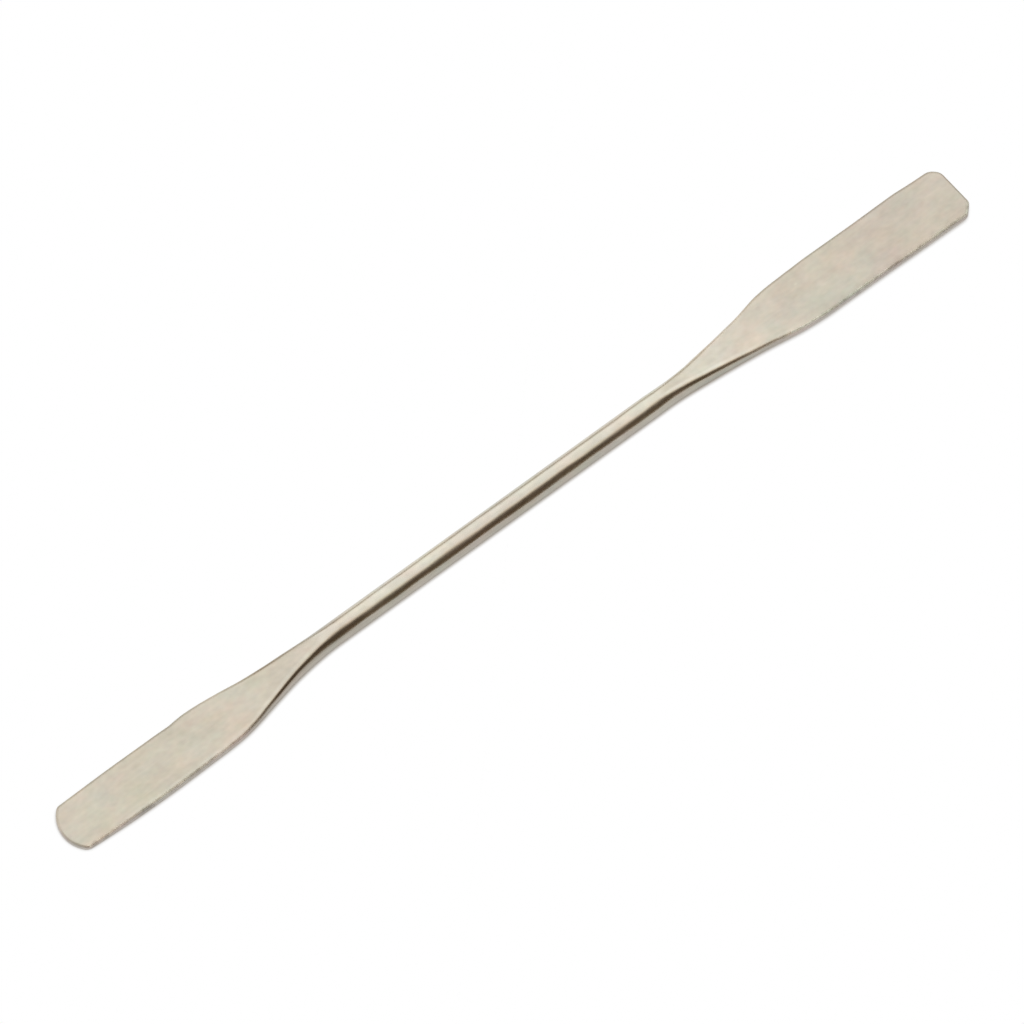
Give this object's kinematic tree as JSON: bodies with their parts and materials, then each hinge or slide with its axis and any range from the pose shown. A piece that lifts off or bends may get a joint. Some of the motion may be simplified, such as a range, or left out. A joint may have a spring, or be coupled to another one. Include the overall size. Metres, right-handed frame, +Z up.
{
  "type": "lab spatula",
  "caption": "Double-ended micro lab spatula: a thin round rod pressed flat at each end, with a round-tipped blade and a wider square-tipped blade with cut corners.",
  "frame": {"origin": "on the bench, under the middle of the tool's length and the rod's centre line", "axes": "+Z up from the bench; +X along the tool to the square end; +Y across it"},
  "size_m": [0.13, 0.0078, 0.0027],
  "materials": {
    "nickel": "satin, drawn lengthwise"
  },
  "bodies": {
    "root": {"spatula": "nickel"}
  },
  "joints": []
}
